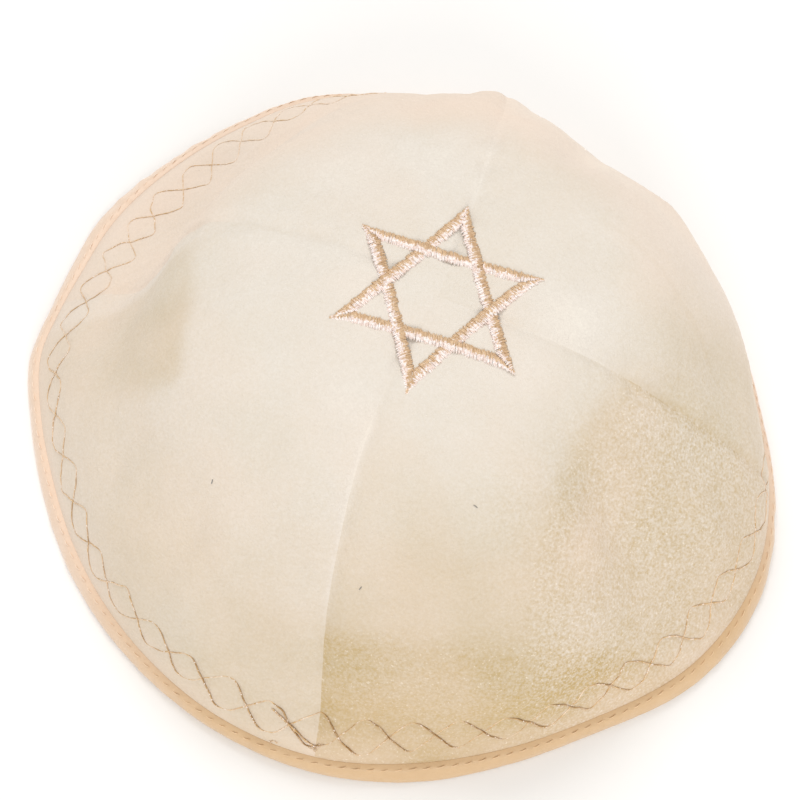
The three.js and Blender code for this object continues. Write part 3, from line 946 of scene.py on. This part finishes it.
def make_wave_threads(material):
    """Two waves of metallic thread that cross each other all the way round the hem.

    Strokes that run down stand off the pile more than those that run up, and both dip at the turns.
    """
    for name, side in (("a", 1), ("b", -1)):
        random = np.random.default_rng(31 + side)
        azimuth = np.linspace(WAVE_START, WAVE_START + 360, WAVE_CROSSINGS * WAVE_STEPS + 1)
        phase = wave_phase(azimuth)
        strokes = np.arange(phase[0] / math.pi - 2, phase[-1] / math.pi + 2)
        turn = phase / math.pi

        def vary(low, high):
            return np.interp(turn, strokes, random.uniform(low, high, len(strokes)))

        distance = wave_distance(azimuth, side) + vary(-WAVE_SPREAD, WAVE_SPREAD)
        t = 1 - distance / ARC_LENGTH
        down = smooth_step(0.5 - 0.9 * side * np.cos(phase))
        down_lift, up_lift, down_dark, up_dark, thickness = [
            round_table(WAVE_LOOKS, column, azimuth) for column in range(1, 6)]
        ends = np.abs(stroke(phase)) ** 6
        lift = up_lift + (down_lift - up_lift) * down - 0.4 * down_lift * ends
        lift = lift + 0.02 * np.sin(azimuth * 5.4 + side)
        dark = up_dark + (down_dark - up_dark) * down + vary(-0.18, 0.18) - 0.2 * ends
        radius = WAVE_THREAD * thickness * vary(0.75, 1.15) * (1 - 0.3 * ends)
        kink = waves(np.stack([azimuth, azimuth * 0, azimuth * 0], -1), 2.6, 41 + side) * 0.0016
        path = cloth_point(azimuth, t + kink, lift)
        vertices, faces = [], []
        tube(path, radius, THREAD_SIDES, vertices, faces)
        piece = mesh_object("wave_thread_" + name, vertices, faces, material)
        twist = azimuth[:, None] * 2.2 + np.arange(THREAD_SIDES) * 2 * math.pi / THREAD_SIDES
        give(piece, "dark", dark[:, None] + 0.26 * np.sin(twist))
        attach(piece, "root")


def make_knots(material):
    """Tangled thread ends where the sewing started and stopped."""
    vertices, faces, dark = [], [], []

    def strand(azimuth, t, lift, shade, radius):
        path = cloth_point(np.asarray(azimuth), np.asarray(t), np.asarray(lift))
        tube(path, radius, THREAD_SIDES, vertices, faces)
        dark.extend([shade] * (len(azimuth) * THREAD_SIDES))

    random = np.random.default_rng(53)
    steps = np.linspace(0, 1, 24)
    bow = np.sin(math.pi * steps)
    for k, shade in enumerate(DOUBLED_DARK):
        azimuth = DOUBLED_START[0] + DOUBLED_RUN[0] * steps
        azimuth = azimuth + (k - 1.5) * 0.45 * bow + 0.12 * np.sin(steps * 19 + k * 2)
        t = DOUBLED_START[1] + DOUBLED_RUN[1] * steps ** 1.2 + (k - 1.5) * 0.003 * bow
        strand(azimuth, t, 0.24 + 0.06 * k * bow, shade, DOUBLED_THREAD)
    for middle, place, size, count in TANGLES:
        for _ in range(count):
            curl = random.uniform(-6, 6) + random.uniform(-3, 3) * np.sin(steps * 5)
            turn = random.uniform(0, 2 * math.pi) + curl * steps
            pace = size * random.uniform(0.5, 1.0) / len(steps)
            across = random.uniform(-0.6, 0.6) + np.cumsum(pace * np.cos(turn))
            down = random.uniform(-0.5, 0.5) + np.cumsum(pace * np.sin(turn))
            lift = random.uniform(0.0, 0.2) + 0.18 * np.sin(math.pi * steps)
            strand(middle + np.degrees(across / HEM_RADIUS), place + down / ARC_LENGTH, lift,
                   random.uniform(-0.2, 0.4), TANGLE_THREAD)
    piece = mesh_object("wave_knots", vertices, faces, material)
    give(piece, "dark", dark)
    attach(piece, "root")


def make_lint(material):
    """A few loose fibres that lie on the pile."""
    vertices, faces = [], []
    steps = np.linspace(-0.5, 0.5, 9)
    lift = np.full_like(steps, LINT_LIFT)
    for azimuth, t, length, turn in LINT:
        angle = math.radians(turn)
        bend = 0.25 * length * (steps ** 2)
        across = length * steps * math.cos(angle) - bend * math.sin(angle)
        down = length * steps * math.sin(angle) + bend * math.cos(angle)
        radius, _ = meridian(azimuth, t)
        around = azimuth + np.degrees(across / float(radius))
        tube(cloth_point(around, t + down / ARC_LENGTH, lift), LINT_THREAD, LINT_SIDES, vertices, faces)
    piece = mesh_object("lint", vertices, faces, material)
    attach(piece, "root")


def crown_height(x, y):
    """Height of the cloth at a plan position near the crown."""
    azimuth = np.degrees(np.arctan2(y, x))
    radius = np.hypot(x, y)
    low = np.zeros_like(radius)
    high = np.full_like(radius, SHOULDER)
    for _ in range(24):
        middle = (low + high) / 2
        inside = meridian(azimuth, middle)[0] < radius
        low = np.where(inside, middle, low)
        high = np.where(inside, high, middle)
    return meridian(azimuth, low)[1]


def make_star(material):
    """Satin stitches side by side across the bars of two crossed triangles."""
    vertices, faces, painted_shine = [], [], []
    random = np.random.default_rng(17)
    outside = STAR_RADIUS / 2
    inside = outside - STAR_BAND
    corner, tip = inside * math.sqrt(3), outside * math.sqrt(3)
    crossing = tip / 3
    for bar in range(6):
        facing = math.radians(STAR_AZIMUTH + 60 * bar + 180)
        across = np.array([math.cos(facing), math.sin(facing)])
        along = np.array([-across[1], across[0]])
        count = int(2 * tip / STAR_STITCH_PITCH)
        for k in range(count + 1):
            s = -tip + 2 * tip * k / count
            waist = STAR_WAIST * math.cos(math.pi * s / tip / 2) ** 2
            mitre = inside + max(0.0, abs(s) - corner) * STAR_BAND / (tip - corner)
            low = mitre - waist - random.uniform(-0.15, 0.28)
            high = outside - waist + random.uniform(-0.15, 0.28)
            width = max(high - low, STAR_LEAST_WIDTH)
            slant = STAR_SLANT + random.uniform(-0.15, 0.15)
            reach = np.linspace(-0.5, 0.5, 9)
            line = (low + high) / 2 * across + s * along
            line = line + np.outer(reach * width, across) + np.outer(reach * slant, along)
            full = min(1.0, width / STAR_BAND)
            arch = np.sqrt(np.clip(1 - (2 * reach) ** 2, 0, 1))
            rise = STAR_RISE * (0.35 + 0.65 * full) * arch - STAR_SUNK
            rise += STAR_OVER * math.exp(-((s - crossing) / STAR_CROSSING) ** 2)
            rise -= STAR_UNDER * math.exp(-((s + crossing) / STAR_CROSSING) ** 2)
            rise += random.uniform(-0.07, 0.07)
            path = np.column_stack([line, crown_height(line[:, 0], line[:, 1]) + rise]) - SHIFT
            tube(path, STAR_THREAD * random.uniform(0.8, 1.1), THREAD_SIDES, vertices, faces)
            # painted highlight: the side of each bar toward the front light is drawn pale
            toward = float(across @ STAR_PAINTED_SHINE_TOWARD)
            side = 0.45 + 1.3 * (2 * reach * toward) + random.uniform(-0.22, 0.22)
            painted_shine.extend(np.repeat(side, THREAD_SIDES))
    piece = mesh_object("star_satin_stitches", vertices, faces, material)
    give(piece, "painted_shine", painted_shine)
    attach(piece, "root")
    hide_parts("embroidered_star")


# Camera, light and table

def make_camera():
    elevation, roll = math.radians(CAMERA_ELEVATION), math.radians(CAMERA_ROLL)
    back = Vector((0, -math.cos(elevation), math.sin(elevation)))
    side = Vector((1, 0, 0))
    up = back.cross(side)
    right = side * math.cos(roll) + up * math.sin(roll)
    top = up * math.cos(roll) - side * math.sin(roll)
    data = bpy.data.cameras.new("camera")
    data.sensor_width = 36.0
    data.lens = CAMERA_FOCUS_PIXELS / PICTURE_PIXELS * data.sensor_width
    camera = bpy.data.objects.new("camera", data)
    place = Vector(CAMERA_TARGET - SHIFT) * 0.001 + back * CAMERA_DISTANCE * 0.001
    camera.matrix_world = Matrix.Translation(place) @ Matrix((right, top, back)).transposed().to_4x4()
    bpy.context.collection.objects.link(camera)
    bpy.context.scene.camera = camera


def area_light(name, place, aim, size, power, colour):
    data = bpy.data.lights.new(name, "AREA")
    data.shape = "DISK"
    data.size = size
    data.energy = power
    data.color = colour
    light = bpy.data.objects.new(name, data)
    light.location = place
    light.rotation_euler = (Vector(aim) - Vector(place)).to_track_quat("-Z", "Y").to_euler()
    bpy.context.collection.objects.link(light)


def make_table():
    n = Nodes("table", Roughness=0.9, Specular_IOR_Level=0.1)
    colour = n.mix(n.noise(40, 2), (0.93, 0.93, 0.925, 1), (0.95, 0.95, 0.945, 1))
    material = n.wear(Base_Color=colour)
    side = TABLE_HALF_SIDE
    corners = [(-side, -side, 0), (side, -side, 0), (side, side, 0), (-side, side, 0)]
    table = mesh_object("table", corners, [(0, 1, 2, 3)], material)


def make_light():
    world = bpy.data.worlds.new("studio")
    world.use_nodes = True
    sky = world.node_tree.nodes["Background"]
    sky.inputs["Color"].default_value = SKY_COLOUR
    sky.inputs["Strength"].default_value = SKY_STRENGTH
    bpy.context.scene.world = world
    for light in LIGHTS:
        area_light(*light)
    bpy.context.scene.view_settings.view_transform = "Standard"


make_camera()
make_light()
make_table()
velvet = velvet_material()
for gore in GORES:
    make_gore(gore, velvet)
make_binding(tape_material())
make_binding_stitches(stitch_material())
metal_thread = metal_thread_material()
make_wave_threads(metal_thread)
make_knots(metal_thread)
make_lint(lint_material())
make_star(star_thread_material())
